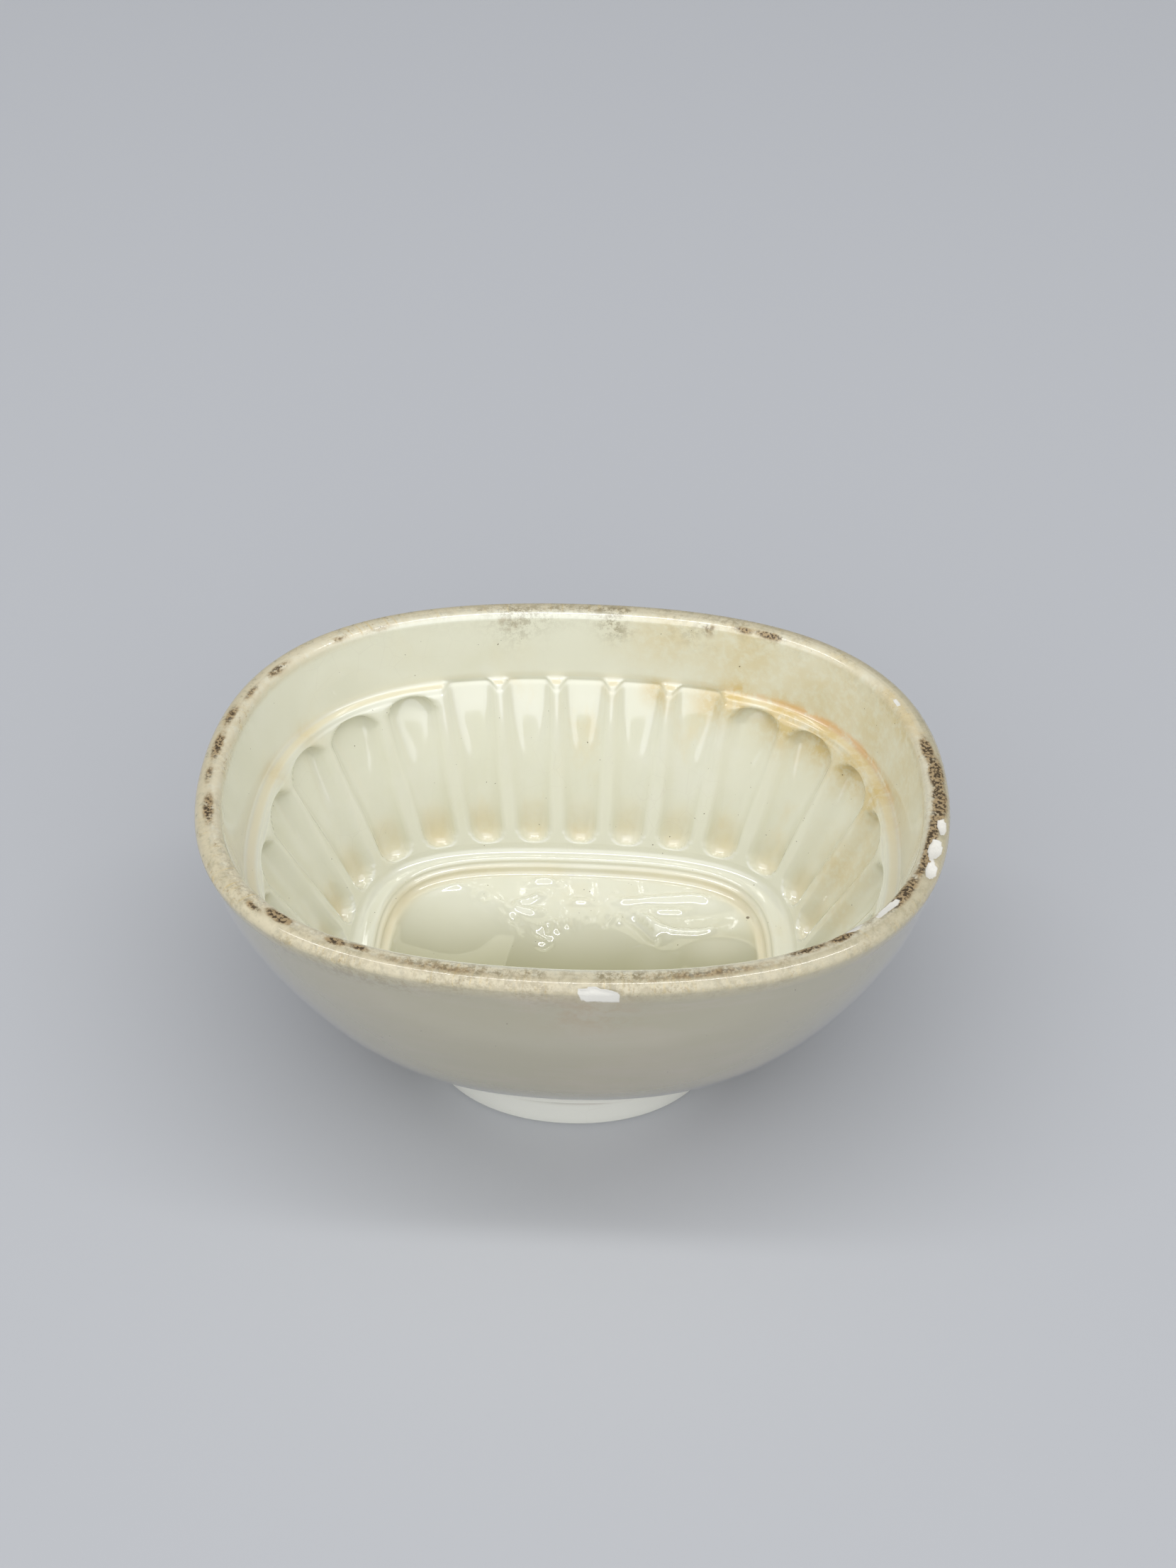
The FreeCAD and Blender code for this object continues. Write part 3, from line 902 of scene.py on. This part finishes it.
        tree.links.new(coords.outputs["Object"], away.inputs[0])
        away.inputs[1].default_value = Vector(place) * mm
        near = Wire(tree, away.outputs["Value"]).ramp(radius * mm * 0.7, radius * mm * 1.3, 1.0, 0.0)
        pinholes = pinholes.step("MAXIMUM", near)
    base = colour(base, look["pinholeColor"], pinholes * 0.85)
    chip = (fact("chip") * fine.ramp(0.2, 0.6, 0.8, 1.2)).ramp(0.3, 0.6)
    base = colour(base, look["bodyColor"], chip)
    crackle = tree.nodes.new("ShaderNodeTexVoronoi")
    crackle.feature = "DISTANCE_TO_EDGE"
    crackle.inputs["Scale"].default_value = look["crazing"]
    tree.links.new(coords.outputs["Object"], crackle.inputs["Vector"])
    craze = Wire(tree, crackle.outputs["Distance"]).ramp(0.0, 0.022, 1.0, 0.0)
    base = colour(base, look["soilColor"], craze * grain(30, 3).ramp(0.45, 0.7) * 0.10)
    tree.links.new(base.socket, shader.inputs["Base Color"])

    dull = worn * 0.30 + scorch * 0.25 + chip * 0.55 + grime * 0.2 + fact("drip") * 0.1
    rough = (dull + look["roughness"] + cloud.ramp(0.4, 0.8) * 0.03).limited()
    tree.links.new(rough.socket, shader.inputs["Roughness"])
    shader.inputs["IOR"].default_value = 1.5
    tree.links.new((chip + scorch + worn * 0.6).limited().flipped().socket, shader.inputs["Coat Weight"])
    shader.inputs["Coat Roughness"].default_value = look["coatRoughness"]
    shader.inputs["Coat IOR"].default_value = look["coatIor"]
    shader.inputs["Specular IOR Level"].default_value = look["bodyGloss"]
    relief = (grain(42, 2) * 0.00035 + worn * fine * 0.00012 + chip * grain(500, 4, 0.8) * 0.0004
              - pinholes * 0.0002 - dots * 0.00006)
    lift = tree.nodes.new("ShaderNodeBump")
    lift.inputs["Strength"].default_value = 0.35
    lift.inputs["Distance"].default_value = 1.0
    tree.links.new(relief.socket, lift.inputs["Height"])
    tree.links.new(lift.outputs[0], shader.inputs["Normal"])
    return material


def makeMould():
    material = glazeMaterial(glazeLook)
    mesh = pressMould(mouldSizes)
    sinkFigure(mesh, mouldSizes)
    wearMould(mesh, mouldSizes)
    print("skin pressed, figure sunk, rim worn")
    blank = bpy.data.objects.new("mouldBlank", mesh)
    bpy.context.scene.collection.objects.link(blank)
    tree, sockets = fluteTree(material)
    press = blank.modifiers.new("Flutes", "NODES")
    press.node_group = tree
    for name, identifier in sockets.items():
        press[identifier] = fluteSizes[name]
    bpy.context.view_layer.update()
    shaped = bpy.data.meshes.new_from_object(blank.evaluated_get(bpy.context.evaluated_depsgraph_get()))
    shaped.name = "jellyMould"
    bpy.data.objects.remove(blank)
    mould = bpy.data.objects.new("jellyMould", shaped)
    bpy.context.scene.collection.objects.link(mould)
    for polygon in shaped.polygons:
        polygon.use_smooth = True
    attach(mould, "root")
    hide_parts("mould_body")
    print("flutes pressed, mould glazed")


studio = {
    "floorColor": (0.53, 0.54, 0.56),
    "floorRoughness": 0.6,
    "skyColor": (0.94, 0.96, 1.0),
    "skyFrom": (0.0, -0.80, 0.60),   # the room is brightest in front of the mould and above it
    "frontSky": 1.55,
    "backSky": 0.18,                 # and this bright everywhere else
    "stripPlace": (0.0, -0.10, 1.5),
    "stripSize": (2.2, 0.12),
    "stripPower": 8.0,
}


def makeFloor(look):
    mesh = bpy.data.meshes.new("floor")
    mesh.from_pydata([(-3, -3, 0), (3, -3, 0), (3, 3, 0), (-3, 3, 0)], [], [(0, 1, 2, 3)])
    floor = bpy.data.objects.new("floor", mesh)
    bpy.context.scene.collection.objects.link(floor)
    material = bpy.data.materials.new("paleFloor")
    material.use_nodes = True
    shader = material.node_tree.nodes["Principled BSDF"]
    shader.inputs["Base Color"].default_value = (*look["floorColor"], 1.0)
    shader.inputs["Roughness"].default_value = look["floorRoughness"]
    mesh.materials.append(material)


def hangStrip(look):
    data = bpy.data.lights.new("ceilingStrip", "AREA")
    data.shape = "RECTANGLE"
    data.size, data.size_y = look["stripSize"]
    data.energy = look["stripPower"]
    strip = bpy.data.objects.new("ceilingStrip", data)
    place = Vector(look["stripPlace"])
    facing = (-place).to_track_quat("-Z", "Y").to_matrix().to_4x4()
    strip.matrix_world = Matrix.Translation(place) @ facing
    bpy.context.scene.collection.objects.link(strip)


def lightMould(look):
    # A room brighter in front than behind, and a long ceiling lamp for the glaze's highlights
    world = bpy.data.worlds.new("room")
    world.use_nodes = True
    tree = world.node_tree
    shade = tree.nodes["Background"]
    shade.inputs["Color"].default_value = (*look["skyColor"], 1.0)
    coords = tree.nodes.new("ShaderNodeTexCoord")
    way = tree.nodes.new("ShaderNodeVectorMath")
    way.operation = "DOT_PRODUCT"
    way.inputs[1].default_value = look["skyFrom"]
    tree.links.new(coords.outputs["Generated"], way.inputs[0])
    bright = Wire(tree, way.outputs["Value"]).ramp(0.12, 1.0, look["backSky"], look["frontSky"])
    tree.links.new(bright.socket, shade.inputs["Strength"])
    bpy.context.scene.world = world
    hangStrip(look)


# Fitted to the outlines of the rim and the mouth in the photograph: place in millimetres,
# the ways right and ahead, and an assumed focal length over the photograph's longer side
viewpoint = {
    "place": (20.39, -387.28, 440.67),
    "right": (0.9988, 0.0480, 0.0052),
    "ahead": (-0.0322, 0.7411, -0.6707),
    "focalShare": 3066.0 / 2212.0,
}


def placeCamera(view):
    data = bpy.data.cameras.new("camera")
    data.sensor_fit = "AUTO"
    data.sensor_width = 36.0
    data.lens = view["focalShare"] * data.sensor_width
    camera = bpy.data.objects.new("camera", data)
    right = Vector(view["right"]).normalized()
    ahead = Vector(view["ahead"]).normalized()
    turn = Matrix((right, right.cross(ahead), -ahead)).transposed().to_4x4()
    camera.matrix_world = Matrix.Translation(Vector(view["place"]) * mm) @ turn
    bpy.context.scene.collection.objects.link(camera)
    bpy.context.scene.camera = camera


makeMould()
makeFloor(studio)
lightMould(studio)
placeCamera(viewpoint)
print("floor, lamps and camera set")

bpy.context.scene.view_settings.view_transform = "Standard"
